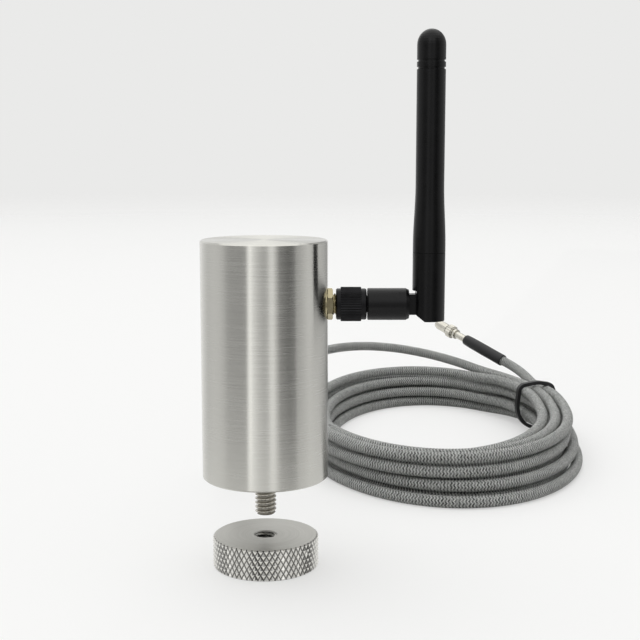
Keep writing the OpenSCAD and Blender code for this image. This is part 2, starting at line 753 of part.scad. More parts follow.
module gland_nut() {
    r = gland_af / 2;
    color(nickel) along_y(gland_nut_y) difference() {
        rotate_extrude() polygon([[0, 0], [r - 0.3, 0], [r, 0.3], [r, gland_nut_l - 3.5],
            [r - 1.4, gland_nut_l], [0, gland_nut_l]]);
        translate([0, 0, -1]) cylinder(r = gland_neck_r + fix_fit, h = gland_nut_l - gland_cap_t + 1);
        cylinder(r = cable_bore_r, h = gland_nut_l + 1);
        // Flats for a spanner
        for (side = [0, 1]) mirror([side, 0, 0])
            translate([r - 0.5, -r, -1]) cube([2, 2 * r, gland_nut_l - 2.5]);
    }
}

module gland_seal() {
    color(rubber) along_y(gland_nut_end - gland_cap_t - gland_seal_l)
        pipe(gland_neck_r, cable_bore_r, gland_seal_l);
}

module strain_relief() {
    foot_r = gland_r - 0.8;
    end_r = cable_r + 0.5;
    deep = 0.25;
    color(rubber) along_y(gland_nut_end) difference() {
        cylinder(r1 = foot_r, r2 = end_r, h = relief_l);
        translate([0, 0, -1]) cylinder(r = cable_bore_r, h = relief_l + 2);
        // Ring grooves that let it bend
        for (u = [0.2, 0.4, 0.6]) translate([0, 0, u * relief_l])
            pipe(foot_r + 1, foot_r + (end_r - foot_r) * u - deep, 0.1 * relief_l);
    }
}

module cable_lead() {
    color(braid) tube(lead_path, cable_r, 8);
}

module cable_coil() {
    color(braid) tube(coil_path, cable_r, 6);
}

module cable_tail() {
    color(braid) tube(tail_path, cable_r, 8);
}

// A rounded loop: it touches the outer passes and bulges a little between them
module tie_outline(r) hull() {
    for (pass = tie_passes) translate(pass) circle(r = r, $fn = 32);
    translate(tie_mid) polygon([for (a = [0:6:354]) [(tie_half[0] + r) * cos(a), (tie_half[1] + r) * sin(a)]]);
}

module cable_tie() {
    color(rubber) translate(tie_at) rotate([90, 0, tie_out]) translate([0, 0, -tie_w / 2])
        linear_extrude(tie_w) difference() {
            tie_outline(cable_r + tie_gap + tie_t);
            tie_outline(cable_r + tie_gap);
        }
}

module heat_shrink() {
    color(black) along_plug(0) pipe(shrink_d / 2, cable_bore_r, shrink_l);
}

module plug_body() {
    nose_r = plug_nose_d / 2;
    color(nickel) difference() {
        union() {
            along_plug(plug_start) cylinder(r = plug_neck_r, h = plug_nose_s - plug_start + 1);
            along_plug(shrink_l + plug_sleeve_l - 1.5) cylinder(r = plug_neck_r + 0.7, h = 1.2);
            along_plug(plug_nose_s) rotate_extrude() polygon([[0, 0], [nose_r, 0], [nose_r, plug_nose_l - 1.5],
                [nose_r - 0.5, plug_nose_l], [0, plug_nose_l]]);
        }
        along_plug(plug_nose_s + 2) cylinder(r = nose_r - 0.9, h = plug_nose_l);
    }
}

module plug_nut() {
    r = plug_nut_d / 2;
    c = 0.3;
    core = r - 2 * c;
    l = plug_nut_l;
    color(nickel) along_plug(plug_nut_s + end_gap) difference() {
        union() {
            rotate_extrude() polygon([[0, 0], [core - c, 0], [core, c], [core, l - c], [core - c, l], [0, l]]);
            translate([0, 0, 2 * c]) ribbed(r, c, plug_ribs, l - 4 * c);
        }
        translate([0, 0, -1]) cylinder(r = plug_neck_r + run_fit, h = l + 2);
    }
}

module plug_pin() {
    color(brass) along_plug(plug_nose_s + 2) cylinder(r = 0.5, h = plug_nose_l - 2.5);
}

housing_shell();
base_plate();
base_seal();
mounting_stud();
accelerometer_capsule();
board_cradle();
circuit_board();
radio_module();
battery_cell();
battery_contacts();
cable_terminal();
antenna_socket();
antenna_coax();
antenna_jack();
jack_insulator();
jack_contact();
jack_washer();
jack_nut();
coupling_nut();
antenna_ferrule();
antenna_pin();
antenna_collar();
hinge_pin();
mast_knuckle();
mast_sleeve();
mast_tip();
radiator();
magnet_base();
base_magnet();
gland_body();
gland_nut();
gland_seal();
strain_relief();
cable_lead();
cable_coil();
cable_tail();
cable_tie();
heat_shrink();
plug_body();
plug_nut();
plug_pin();
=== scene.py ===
# %% [markdown]
# # A wireless vibration sensor
# A turned steel can stands on a threaded stud, with its knurled magnet base taken off below it. A stub antenna
# is screwed to its side, and a braided cable lies coiled behind. The solids come in as a fixed frame in
# metres, with each moving body on its own joint. This lesson gives them their finishes, cuts the threads,
# braids the cable and sets up the studio.

# %% The frame
import math

import bmesh
import bpy
from mathutils import Matrix, Vector


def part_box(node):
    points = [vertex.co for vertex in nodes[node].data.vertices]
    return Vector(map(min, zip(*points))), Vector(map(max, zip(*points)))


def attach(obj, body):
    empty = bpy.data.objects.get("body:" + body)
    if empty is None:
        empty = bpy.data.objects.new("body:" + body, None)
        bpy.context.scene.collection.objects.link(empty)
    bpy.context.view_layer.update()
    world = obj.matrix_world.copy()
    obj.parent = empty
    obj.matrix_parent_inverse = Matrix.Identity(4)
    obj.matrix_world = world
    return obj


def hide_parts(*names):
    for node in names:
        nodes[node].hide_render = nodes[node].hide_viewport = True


MM = 0.001
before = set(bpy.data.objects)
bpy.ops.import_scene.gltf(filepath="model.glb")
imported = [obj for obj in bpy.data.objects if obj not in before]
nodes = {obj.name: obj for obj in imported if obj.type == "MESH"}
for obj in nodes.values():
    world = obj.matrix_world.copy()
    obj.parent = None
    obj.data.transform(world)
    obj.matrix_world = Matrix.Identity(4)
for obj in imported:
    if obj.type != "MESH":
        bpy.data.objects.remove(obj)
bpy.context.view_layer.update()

# %% [markdown]
# ## Small tools
# Colours are written as the eye sees them, in sRGB hex, and Blender wants them linear, so one function turns
# them. Shaders could be clicked together by hand; one function that adds a node keeps them in code. Object
# space is in metres, so a noise with a scale of 1 / (0.2 * MM) has spots about 0.2 mm wide. Two more functions
# put new data, or a copy of a solid, into the scene as an object.

# %% Colours and shader nodes
def linear(colour):
    """Linear RGBA of an sRGB hex colour."""
    parts = [int(colour[i:i + 2], 16) / 255 for i in (1, 3, 5)]
    return [p / 12.92 if p <= 0.04045 else ((p + 0.055) / 1.055) ** 2.4 for p in parts] + [1.0]


def add(tree, kind, inputs=None, **settings):
    """Adds one node. Its settings are the node's own, and each input is a value or a socket to link."""
    node = tree.nodes.new("ShaderNode" + kind)
    for name, value in settings.items():
        setattr(node, name, value)
    for name, value in (inputs or {}).items():
        if isinstance(value, bpy.types.NodeSocket):
            tree.links.new(value, node.inputs[name])
        else:
            node.inputs[name].default_value = value
    return node


def start_material(name, constants):
    """A material with one Principled shader, and the values that are the same all over its surface."""
    material = bpy.data.materials.new(name)
    material.use_nodes = True
    tree = material.node_tree
    shader = tree.nodes["Principled BSDF"]
    for socket, value in constants.items():
        shader.inputs[socket].default_value = value
    return material, tree, shader


def connect(tree, shader, sockets):
    """Links sockets to the shader's inputs."""
    for name, socket in sockets.items():
        tree.links.new(socket, shader.inputs[name])


print("steel grey, linear:", [round(part, 3) for part in linear("#CDCCC6")])

# %% Objects
def put(name, data):
    """A new object in the scene."""
    thing = bpy.data.objects.new(name, data)
    bpy.context.collection.objects.link(thing)
    return thing


def copied(name, node, material):
    """A new object with a copy of a CAD node's mesh and its own finish."""
    mesh = nodes[node].data.copy()
    mesh.materials.clear()
    mesh.materials.append(material)
    return put(name, mesh)


print("solids that can be copied:", ", ".join(sorted(nodes)))

# %% [markdown]
# ## A grained finish
# Moulded plastic, plating and rubber differ mostly in how fine and how deep their grain is, so one recipe
# serves them. Each could be a picture of a surface, but a noise has no seams. A fine noise and a broad one
# move the colour between two shades and the roughness between two values, and the fine one lifts the surface
# a little. A bevel in the shader breaks the sharp edges, as a mould or a file does. Real grain is a few
# hundredths of a millimetre wide, too fine to show here, so it is drawn 0.2 to 0.5 mm wide.

# %% Grain
# How many times as wide as the grit the broad noise is, and the radius of a broken edge
BROAD = 14
BROKEN_EDGE = 0.12


def grained(name, shades, rough, grit, depth, constants):
    """A material with an even grain: two shades, two roughnesses, and grit and depth in millimetres."""
    material, tree, shader = start_material(name, constants)
    place = add(tree, "TexCoord").outputs["Object"]
    fine = add(tree, "TexNoise", {"Vector": place, "Scale": 1 / (grit * MM), "Detail": 3.0, "Roughness": 0.6})
    broad = add(tree, "TexNoise", {"Vector": place, "Scale": 1 / (grit * BROAD * MM), "Detail": 2.0})
    both = add(tree, "Math", {0: fine.outputs["Fac"], 1: broad.outputs["Fac"]}, operation="ADD").outputs[0]
    share = add(tree, "MapRange", {"Value": both, "From Min": 0.7, "From Max": 1.3}).outputs["Result"]
    tint = add(tree, "MixRGB", {"Fac": share, "Color1": linear(shades[0]), "Color2": linear(shades[1])})
    gloss = add(tree, "MapRange", {"Value": share, "To Min": rough[0], "To Max": rough[1]})
    edge = add(tree, "Bevel", {"Radius": BROKEN_EDGE * MM}, samples=4)
    lift = add(tree, "Bump", {"Height": fine.outputs["Fac"], "Distance": depth * MM, "Normal": edge.outputs[0]})
    connect(tree, shader, {"Base Color": tint.outputs[0], "Roughness": gloss.outputs[0],
                           "Normal": lift.outputs[0]})
    return material


def dress(material, *names):
    """Gives CAD nodes a finish."""
    for name in names:
        nodes[name].data.materials.clear()
        nodes[name].data.materials.append(material)
    print(material.name, "on", ", ".join(names))


print("grain: the broad noise is", BROAD, "times as wide as the grit, edges are broken by", BROKEN_EDGE, "mm")

# %% [markdown]
# ## The camera
# The lens and place were solved from the straight edges and ellipses of the object: a short telephoto about
# 35 cm in front of the body, a little above it and looking slightly down. Framing by eye would also do, but a
# solved camera keeps the proportions true.

# %% Camera
CAMERA_AT = Vector((16.2, -346.8, 124.2))
CAMERA_TILT = 81.73
SENSOR, LENS, NEAREST = 36.0, 67.67, 10.0
view = put("camera", bpy.data.cameras.new("camera"))
view.data.sensor_width = SENSOR
view.data.lens = LENS
view.data.clip_start = NEAREST * MM
view.location = CAMERA_AT * MM
view.rotation_euler = (math.radians(CAMERA_TILT), 0.0, 0.0)
bpy.context.scene.camera = view
bpy.context.scene.view_settings.view_transform = "Standard"
print("camera:", LENS, "mm lens,", round(CAMERA_AT.xy.length), "mm from the body's axis")

# %% [markdown]
# ## The coil
# Most of the cable is wound in flat layers of loops, which run inwards and outwards by turns and climb as
# they go. A hand drawn curve could follow them, but the loops are simpler to work out from an angle, as the
# winder's hand makes them. One loop near the end is slack and stands out, and all are lifted under the tie.

# %% Coil
CABLE_D = 4.2
COIL_X, COIL_Y = 66.5, 142.5
COIL_A, COIL_B = 50.0, 82.0
COIL_START = 204.0
TURNS, LAYER_TURNS, LAYERS = 9.5, 2.375, 4
SPREAD, LAYER_STEP = 11.875, 4.7
LEAN_X, LEAN_Y = -0.32, 0.35
TIE_ANGLE, TIE_LIFT, TIE_REACH = 20.5, 1.5, 32.0
LOOSE_FROM, LOOSE_TO, LOOSE_OUT, LOOSE_UP = 8.505, 9.105, 9.0, 12.0
COIL_POINTS = 228


def smooth(u):
    """Eases from 0 to 1."""
    c = min(max(u, 0.0), 1.0)
    return c * c * (3 - 2 * c)


def coil_point(t):
    """A point of the wound cable after t turns, in millimetres."""
    degrees = COIL_START + 360 * t
    layer = min(int(t / LAYER_TURNS), LAYERS - 1)
    u = t / LAYER_TURNS - layer
    out = SPREAD * (0.5 - u if layer % 2 == 0 else u - 0.5)
    climb = LAYER_STEP * sum(smooth(2 * (t - k * LAYER_TURNS) + 0.5) for k in range(1, LAYERS))
    slack = (t - LOOSE_FROM) / (LOOSE_TO - LOOSE_FROM)
    loose = math.sin(math.pi * slack) ** 2 if 0 < slack < 1 else 0.0
    away = abs((degrees - TIE_ANGLE + 540) % 360 - 180)
    raised = TIE_LIFT * smooth(1.5 * (1 - away / TIE_REACH))
    out += LOOSE_OUT * loose
    a = math.radians(degrees)
    return Vector((COIL_X + (COIL_A + out) * math.cos(a) + LEAN_X * climb,
                   COIL_Y + (COIL_B + out) * math.sin(a) + LEAN_Y * climb,
                   CABLE_D / 2 + climb + LOOSE_UP * loose + raised))


coil = [coil_point(TURNS * i / COIL_POINTS) for i in range(COIL_POINTS + 1)]
print("coil:", TURNS, "turns, up to", round(max(point.z for point in coil)), "mm high")

# %% [markdown]
# ## One smooth route
# The cable leaves the back of the body, falls to the table and runs into the coil. Its far end lies on the
# coil and rises a little to the plug. The free ends pass through a few points. A curve object could take
# them, but a mesh tube can carry the braid's own coordinates, so the route is sampled here.

# %% Route
GLAND_Z, EXIT_Y = 50.2, 28.5
PLUG_AT = Vector((102.6, 213.0, 23.4))
PLUG_YAW, PLUG_RISE, PLUG_RUN = math.radians(130), math.radians(16.5), 23
PLUG_WAY = Vector((math.cos(PLUG_YAW) * math.cos(PLUG_RISE), math.sin(PLUG_YAW) * math.cos(PLUG_RISE),
                   math.sin(PLUG_RISE)))
ROUTE_STEPS = 4
lead = [(0, 9, GLAND_Z), (0, 17.6, GLAND_Z), (0, EXIT_Y, GLAND_Z), (0, 40.5, GLAND_Z), (0, 50, 50)]
lead += [(-3, 58.5, 47), (-7.5, 66, 41), (-11.5, 73, 33), (-14.5, 81, 24), (-16.5, 89.5, 14.5), (-17, 99, 6.8)]
lead += [(-15, 108.5, 3), (-9.5, 116, 2.2), (-1, 119.7, 2.2), (7.5, 118.7, 2.2), (12.7, 114.7, 2.2)]
tail = [(110.6, 196.4, 19.2), (107.6, 205.3, 21.1)]
tail += [PLUG_AT, PLUG_AT + PLUG_RUN / 2 * PLUG_WAY, PLUG_AT + PLUG_RUN * PLUG_WAY]
coil_in = coil[0] - CABLE_D * (coil[1] - coil[0]).normalized()
coil_out = coil[-1] + CABLE_D * (coil[-1] - coil[-2]).normalized()
route = [*map(Vector, lead), coil_in, *coil, coil_out, *map(Vector, tail)]


def through(points, steps):
    """A smooth curve through points: each span leaves and arrives along the line between its neighbours."""
    at = [0.0]
    for a, b in zip(points, points[1:]):
        at.append(at[-1] + (b - a).length)
    last = len(points) - 1
    ways = [(points[min(i + 1, last)] - points[max(i - 1, 0)]) / (at[min(i + 1, last)] - at[max(i - 1, 0)])
            for i in range(last + 1)]
    curve = []
    for i in range(last):
        span = at[i + 1] - at[i]
        for k in range(steps):
            u = k / steps
            curve.append((1 + 2 * u) * (1 - u) ** 2 * points[i] + u * (1 - u) ** 2 * span * ways[i]
                         + u * u * (3 - 2 * u) * points[i + 1] + u * u * (u - 1) * span * ways[i + 1])
    return curve + [points[-1]]


cable_path = through(route, ROUTE_STEPS)
along = [0.0]
for a, b in zip(cable_path, cable_path[1:]):
    along.append(along[-1] + (b - a).length)
print("cable:", round(along[-1] / 1000, 2), "m in", len(cable_path), "rings")

# %% [markdown]
# ## A skin over rings
# The cable, the threads and the heat-shrink sleeve are all skins over rings of points. The rings run along
# the piece, each turning the right-handed way round the direction of travel, and quads join them. A screw
# modifier could turn a profile, but with a known order of faces the mesh is always closed and faces outwards.

# %% Skin
CREASE = 38


def skin(name, rings, material, loop=False):
    """A smooth mesh over rings of points in millimetres. A loop joins the last ring to the first."""
    count = len(rings[0])
    steps = [(i, i + 1) for i in range(len(rings) - 1)] + ([(len(rings) - 1, 0)] if loop else [])
    faces = []
    for low, high in steps:
        for i in range(count):
            j = (i + 1) % count
            faces.append((low * count + i, low * count + j, high * count + j, high * count + i))
    if not loop:
        last = (len(rings) - 1) * count
        faces += [tuple(range(count - 1, -1, -1)), tuple(range(last, last + count))]
    mesh = bpy.data.meshes.new(name)
    mesh.from_pydata([tuple(point * MM) for ring in rings for point in ring], [], faces)
    mesh.polygons.foreach_set("use_smooth", [True] * len(faces))
    mesh.set_sharp_from_angle(angle=math.radians(CREASE))
    mesh.materials.append(material)
    print(name, "has", len(mesh.vertices), "points")
    return put(name, mesh)


def fit(piece, body, slot, *stands_for):
    """Puts a piece on its body and hides the solids that it stands for. Its slot is not used."""
    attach(piece, body)
    if stands_for:
        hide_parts(*stands_for)
    return piece


print("skins crease where faces meet at more than", CREASE, "degrees")

# %% [markdown]
# ## Braided nylon
# The cable's jacket is a tube of nylon bundles plaited at about 45 degrees. Dark and pale bundles alternate,
# and each passes over two and under two, which gives the grey zigzag of such jackets. An image of a weave
# would blur and repeat, so the plait is drawn from the tube's own coordinates: the turn round it and the
# millimetres along it give each bundle's number and the place across it. Real bundles are about 0.5 mm wide,
# too fine to show here, so they are drawn about 0.8 mm wide.

# %% Nylon braid
# Bundles each way, millimetres along the cable for one turn, and a bundle's height
BUNDLES, BRAID_LEAD, RELIEF = 16, 9.0, 0.3
# How much of the paleness is the pattern's, and how much is chance
PALE_SHARE, FLECK_SHARE = 0.65, 0.55
# How dark the painted shade in a gap is, and how far up a bundle it reaches
GAP_SHADE, GAP_END = 0.12, 0.65
# Yarn scatters light among its fibres, so it is matt, with only a weak broad shine
braid, tree, shader = start_material("braided_nylon", {"Roughness": 0.45, "Specular IOR Level": 0.4})
wrap = add(tree, "SeparateXYZ", {0: add(tree, "UVMap", uv_map="wrap").outputs["UV"]})
slant = add(tree, "Math", {0: wrap.outputs["Y"], 1: 1 / BRAID_LEAD}, operation="MULTIPLY").outputs[0]
numbers, crowns, pales = [], [], []
for way in ("ADD", "SUBTRACT"):
    turn = add(tree, "Math", {0: wrap.outputs["X"], 1: slant}, operation=way).outputs[0]
    count = add(tree, "Math", {0: turn, 1: BUNDLES}, operation="MULTIPLY").outputs[0]
    ramp = add(tree, "Math", {0: count, 1: 0.5}, operation="PINGPONG").outputs[0]
    numbers.append(add(tree, "Math", {0: count}, operation="FLOOR").outputs[0])
    crowns.append(add(tree, "Math", {0: ramp, 1: 0.5}, operation="POWER").outputs[0])
    pales.append(add(tree, "Math", {0: numbers[-1], 1: 1.0}, operation="PINGPONG").outputs[0])
# The second family lies on top for two crossings, then under for two
both = add(tree, "Math", {0: numbers[0], 1: numbers[1]}, operation="ADD").outputs[0]
half = add(tree, "Math", {0: both, 1: 2.0}, operation="DIVIDE").outputs[0]
pair = add(tree, "Math", {0: half}, operation="FLOOR").outputs[0]
upper = add(tree, "Math", {0: pair, 1: 1.0}, operation="PINGPONG").outputs[0]
crown_step = add(tree, "Math", {0: crowns[1], 1: crowns[0]}, operation="SUBTRACT").outputs[0]
crown = add(tree, "Math", {0: upper, 1: crown_step, 2: crowns[0]}, operation="MULTIPLY_ADD").outputs[0]
paler = add(tree, "Math", {0: pales[0], 1: pales[1]}, operation="ADD").outputs[0]
pale_step = add(tree, "Math", {0: 1.0, 1: paler}, operation="SUBTRACT").outputs[0]
tone = add(tree, "Math", {0: upper, 1: pale_step, 2: pales[0]}, operation="MULTIPLY_ADD").outputs[0]
# No two bundles are quite alike, and shade is painted into the gaps between them
crossing = add(tree, "CombineXYZ", {"X": numbers[0], "Y": numbers[1]}).outputs[0]
fleck = add(tree, "TexWhiteNoise", {"Vector": crossing}, noise_dimensions="2D").outputs["Value"]
plain = add(tree, "Math", {0: tone, 1: PALE_SHARE}, operation="MULTIPLY").outputs[0]
share = add(tree, "Math", {0: fleck, 1: FLECK_SHARE, 2: plain}, operation="MULTIPLY_ADD").outputs[0]
tint = add(tree, "MixRGB", {"Fac": share, "Color1": linear("#111312"), "Color2": linear("#EAECE8")})
painted_gap_shade = add(tree, "MapRange", {"Value": crown, "From Max": GAP_END, "To Min": GAP_SHADE}).outputs[0]
shaded = add(tree, "MixRGB", {"Fac": 1.0, "Color1": tint.outputs[0], "Color2": painted_gap_shade}, blend_type="MULTIPLY")
lift = add(tree, "Bump", {"Height": crown, "Distance": RELIEF * MM})
connect(tree, shader, {"Base Color": shaded.outputs[0], "Normal": lift.outputs[0]})
print("braid:", round(math.pi * CABLE_D / BUNDLES, 2), "mm a bundle")

# %% [markdown]
# ## The cable
# The real cable is one round length of 4.2 mm. Rings stand across the route, each with its top upwards, so
# the tube doesn't twist, and a UV map carries the turn and the millimetres that the braid needs.

# %% The cable
SIDES = 20
corner_angles = [2 * math.pi * k / SIDES for k in range(SIDES)]
rings = []
for i, point in enumerate(cable_path):
    way = cable_path[min(i + 1, len(cable_path) - 1)] - cable_path[max(i - 1, 0)]
    side = way.cross(Vector((0, 0, 1))).normalized()
    up = side.cross(way).normalized()
    rings.append([point + CABLE_D / 2 * (math.cos(a) * up + math.sin(a) * side) for a in corner_angles])
cable = skin("braided_cable", rings, braid)
wrap_map = cable.data.uv_layers.new(name="wrap")
for face in cable.data.polygons[:(len(rings) - 1) * SIDES]:
    row, column = divmod(face.index, SIDES)
    corners = [(column, row), (column + 1, row), (column + 1, row + 1), (column, row + 1)]
    for loop, (c, r) in zip(face.loop_indices, corners):
        wrap_map.data[loop].uv = (c / SIDES, along[r])
fit(cable, "sensor", "braid", "cable_lead", "cable_coil", "cable_tail")
print("cable ends at", [round(x) for x in cable_path[-1]], "mm")

# %% [markdown]
# ## The table
# The object stands on a white table, and a part of its white is a painted glow, which also makes its shadows pale.
# More light would make a plain sheet as white, but it would also fall on the object. The glow is no more than
# white, and only for the eye: for rays from the camera, from a mirror or through glass. Further out the sheet
# fades into the wall.

# %% Table
TABLE_GLOW = 0.45
# Metres: half the sheet's width, and where it starts and ends to fade
TABLE_HALF, FADE_FROM, FADE_TO = 4.0, 0.3, 3.0


def seen_ray(tree):
    """1 for a ray from the camera, from a mirror or through glass, and 0 for one that lights a surface."""
    path = add(tree, "LightPath").outputs
    seen = add(tree, "Math", {0: path["Is Camera Ray"], 1: path["Is Glossy Ray"]}, operation="MAXIMUM").outputs[0]
    return add(tree, "Math", {0: seen, 1: path["Is Transmission Ray"]}, operation="MAXIMUM").outputs[0]


# White paint is matt, and shows the shadow and hardly a reflection
table, tree, shader = start_material("matt_white_table", {"Base Color": linear("#F7F7F6"), "Roughness": 0.7,
                                                          "Specular IOR Level": 0.1})
# Painted glow: the sheet shows white to the camera, mirrors and glass, which pales the shadows on it
below = add(tree, "Emission", {"Color": linear("#F9F9F8"), "Strength": seen_ray(tree)})
lit = add(tree, "MixShader", {0: TABLE_GLOW, 1: shader.outputs[0], 2: below.outputs[0]})
place = add(tree, "TexCoord").outputs["Object"]
reach = add(tree, "VectorMath", {0: place}, operation="LENGTH").outputs["Value"]
fade = add(tree, "MapRange", {"Value": reach, "From Min": FADE_FROM, "From Max": FADE_TO},
           interpolation_type="SMOOTHSTEP")
clear = add(tree, "BsdfTransparent")
faded = add(tree, "MixShader", {0: fade.outputs[0], 1: lit.outputs[0], 2: clear.outputs[0]})
tree.links.new(faded.outputs[0], tree.nodes["Material Output"].inputs["Surface"])
sheet = bpy.data.meshes.new("table")
corners = [(TABLE_HALF * x, TABLE_HALF * y, 0) for x, y in ((-1, -1), (1, -1), (1, 1), (-1, 1))]
sheet.from_pydata(corners, [], [(0, 1, 2, 3)])
sheet.materials.append(table)
floor = put("table", sheet)
print("table:", TABLE_GLOW, "of its white is a glow from below")

# %% [markdown]
# ## Wall and sky
# A studio's wall is pale and its ceiling is one large soft lamp. A picture of a room could stand for both,
# but two plain gradients are enough. The eye and the metal see the wall, which brightens upwards, and the
# sky lights the object, most from above, at a level that leaves its colours as they are written.

# %% Wall and sky
SKY_LOW, SKY_HIGH = 0.4, 0.92
WALL_LOW, WALL_HIGH = 1.0, 1.7
# Heights between which the wall brightens, where straight up is 1
GLARE_FROM, GLARE_TO = 0.15, 0.7
world = bpy.data.worlds.new("studio")
world.use_nodes = True
bpy.context.scene.world = world
tree = world.node_tree
height = add(tree, "SeparateXYZ", {0: add(tree, "TexCoord").outputs["Generated"]}).outputs["Z"]
soft = add(tree, "MapRange", {"Value": height, "To Min": SKY_LOW, "To Max": SKY_HIGH})
sky = add(tree, "Background", {"Color": linear("#FFFFFF"), "Strength": soft.outputs[0]})
glare = add(tree, "MapRange", {"Value": height, "From Min": GLARE_FROM, "From Max": GLARE_TO,
                               "To Min": WALL_LOW, "To Max": WALL_HIGH})
wall = add(tree, "Background", {"Color": linear("#EAEAE9"), "Strength": glare.outputs[0]})
studio = add(tree, "MixShader", {0: seen_ray(tree), 1: sky.outputs[0], 2: wall.outputs[0]})
tree.links.new(studio.outputs[0], tree.nodes["World Output"].inputs["Surface"])
print("sky:", SKY_LOW, "at the horizon,", SKY_HIGH, "overhead")

# %% [markdown]
# ## The screen
# Bare steel shows nothing but its surroundings, so these are built as a photographer builds them. A screen
# wraps round the front from the left back to the right back, with two bright strips, darker gaps and a rim
# along the table. It could be a picture of a room; a screen with a few levels is simpler, and keeps the
# steel's bands where they belong. Only the metal sees it: it lights nothing and throws no shadow.

# %% Screen
# Metres: how far out and how high it stands, and how far its foot is off the table
SCREEN_R, SCREEN_H, SCREEN_FOOT = 1.15, 1.25, 0.001
# Degrees from straight ahead at which its front ends, and over which that fades
FRONT_ENDS, FRONT_FADE = 85, 35
# Degrees to the right of straight ahead, and brightness
levels = [(-150, 0.95), (-118, 0.72), (-99, 0.77), (-85, 0.74), (-74, 0.66), (-64, 0.5), (-37, 0.44), (-30, 0.5),
          (-25, 1.35), (-22, 1.6), (-18, 1.15), (-8, 0.78), (2, 0.6), (8, 0.7), (13, 1.1), (18, 1.15), (22, 0.85),
          (30, 0.32), (46, 0.16), (57, 0.24), (62, 0.54), (75, 0.66), (89, 0.8), (116, 0.7), (140, 0.56),
          (150, 0.42), (164, 0.42)]
# Distance out, height, and how much brighter that row is in front
rows = [(0.115, SCREEN_FOOT, 1.2), (0.2, SCREEN_FOOT, 1.15), (0.32, SCREEN_FOOT, 0.58),
        (SCREEN_R, SCREEN_FOOT, 0.76), (SCREEN_R, 0.3, 0.76), (SCREEN_R, 0.6, 1.6), (SCREEN_R, SCREEN_H, 1.9)]


def level(degrees, share):
    """Brightness of the screen at an angle, in a row that is share times as bright in front."""
    for (a, low), (b, high) in zip(levels, levels[1:]):
        if degrees <= b:
            plain = low + (high - low) * (degrees - a) / (b - a)
            return plain * (1 + (share - 1) * smooth((FRONT_ENDS - abs(degrees)) / FRONT_FADE))


angles = list(range(levels[0][0], levels[-1][0] + 1))
count = len(angles)
points = [(reach * math.sin(math.radians(d)), -reach * math.cos(math.radians(d)), z)
          for reach, z, _ in rows for d in angles]
faces = [(row * count + i + 1, row * count + i, row * count + count + i, row * count + count + i + 1)
         for row in range(len(rows) - 1) for i in range(count - 1)]
sheet = bpy.data.meshes.new("screen")
sheet.from_pydata(points, [], faces)
glow = sheet.attributes.new("glow", "FLOAT", "POINT")
glow.data.foreach_set("value", [level(d, share) for _, _, share in rows for d in angles])
# Lit cloth is even and has no shine of its own
cloth, tree, shader = start_material("lit_screen_cloth", {})
shine = add(tree, "Emission", {"Strength": add(tree, "Attribute", attribute_name="glow").outputs["Fac"]})
tree.links.new(shine.outputs[0], tree.nodes["Material Output"].inputs["Surface"])
sheet.materials.append(cloth)
screen = put("screen", sheet)
screen.visible_camera = screen.visible_diffuse = screen.visible_shadow = False
print("screen:", count, "columns, levels", min(v for _, v in levels), "to", max(v for _, v in levels))

# %% [markdown]
# ## The lamp overhead
# One large soft lamp hangs behind the object and a little to the left, so the shadows fall forwards. An area
# lamp would show in the steel; a sun with a wide angle gives the same soft edge, and is hidden from mirrors.

# %% Lamp
LAMP_WAY = Vector((0.2, -0.3, -1.0))
LAMP_ANGLE, LAMP_LEVEL = 60, 0.9
lamp = put("overhead_lamp", bpy.data.lights.new("overhead_lamp", "SUN"))
lamp.data.angle = math.radians(LAMP_ANGLE)
lamp.data.energy = LAMP_LEVEL
lamp.rotation_euler = LAMP_WAY.to_track_quat("-Z", "Y").to_euler()
lamp.visible_glossy = False
print("lamp:", round(math.degrees(LAMP_WAY.angle(Vector((0, 0, -1))))), "degrees from straight down")

# %% [markdown]
# ## The steel can
# The can and its plate are turned from stainless bar and brushed on the lathe, so fine lines run round them
# and spread each highlight up and down. Stretching the highlight alone would look like glass, so the lines are
# drawn too. A 4D noise draws them: slow along the turn, fast up the side and fast in the radius, which gives
# rings on the flat ends as well. Real lines are a few hundredths of a millimetre apart, too fine to show here,
# so they are drawn about 0.2 mm apart.

# %% Brushed stainless steel
LINE_LONG, LINE_FINE, LINE_DEEP = 14.0, 0.22, 0.0003
# How upright a face looks before it counts as the flat top, in part and in full
TOP_FROM, TOP_FULL = 0.5, 0.7


